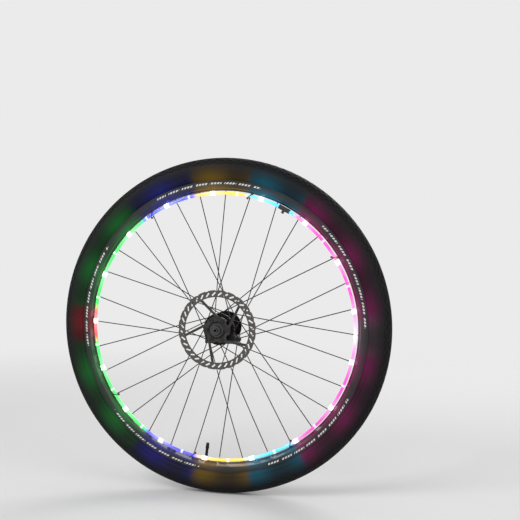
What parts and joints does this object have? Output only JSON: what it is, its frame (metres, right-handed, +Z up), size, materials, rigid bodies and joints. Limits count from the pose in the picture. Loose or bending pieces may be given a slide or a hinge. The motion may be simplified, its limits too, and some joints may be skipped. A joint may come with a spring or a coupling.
{
  "type": "lit bicycle wheel",
  "caption": "Spoked bicycle front wheel with disc brake rotor and a coloured light string tied round the rim, fed from a small battery case strapped under the hub.",
  "frame": {"origin": "middle of the axle's through bore, at the centre of the wheel", "axes": "+Y along the axle away from the brake disc, +Z up with the battery case below the hub, +X completes the set"},
  "size_m": [0.686, 0.109, 0.686],
  "materials": {
    "rim_metal": "satin black",
    "tyre_rubber": "matte",
    "hub_metal": "satin black",
    "axle_metal": "satin",
    "steel": "brushed",
    "rotor_steel": "brushed",
    "spoke_black": "gloss black",
    "nipple_metal": "polished",
    "bolt_steel": "black oxide",
    "valve_metal": "black",
    "clear_tube": "clear soft plastic",
    "copper_wire": "bare wire",
    "board": "white board",
    "light_chip": "lit",
    "clear_bead": "clear",
    "clear_plastic": "clear",
    "black_plastic": "matte black",
    "case_plastic": "fine texture",
    "gasket_rubber": "matte",
    "strap_fabric": "woven",
    "cell_label": "plain grey",
    "contact_metal": "plated",
    "circuit_board": "green board",
    "button_rubber": "matte grey"
  },
  "bodies": {
    "axle": {"axle": "axle_metal", "disc_end_cap": "axle_metal", "far_end_cap": "axle_metal", "bearing_inner_races": "steel"},
    "wheel": {"rim": "rim_metal", "tyre": "tyre_rubber", "hub_shell": "hub_metal", "bearing_outer_races": "steel", "brake_rotor": "rotor_steel", "rotor_bolts": "bolt_steel", "spokes_disc_side": "spoke_black", "spokes_far_side": "spoke_black", "spoke_nipples": "nipple_metal", "valve_stem": "valve_metal", "valve_lock_ring": "valve_metal", "valve_cap": "valve_metal", "string_tube": "clear_tube", "string_wires": "copper_wire", "light_boards": "board", "light_chips": "light_chip", "light_beads": "clear_bead", "string_collars": "clear_plastic", "string_junction": "black_plastic", "spoke_ties": "black_plastic", "battery_case": "case_plastic", "battery_cells": "cell_label", "contact_plates": "contact_metal", "contact_springs": "contact_metal", "control_board": "circuit_board", "switch_body": "black_plastic", "cable_gland": "black_plastic", "case_strap": "strap_fabric", "case_saddle": "gasket_rubber"},
    "lid": {"battery_lid": "case_plastic", "lid_screws": "steel", "lid_gasket": "gasket_rubber"},
    "button": {"power_button": "button_rubber"}
  },
  "joints": [
    {"name": "wheel_spin", "type": "hinge", "parent": "axle", "child": "wheel", "pos_m": [0, 0, 0], "axis": [0, 1, 0], "continuous": true},
    {"name": "lid_lift", "type": "slide", "parent": "wheel", "child": "lid", "axis": [0, 0, -1], "range_m": [0, 0.02]},
    {"name": "button_press", "type": "slide", "parent": "wheel", "child": "button", "axis": [-1, 0, 0], "range_m": [0, 0.0012], "stiffness_N_per_m": 600}
  ]
}
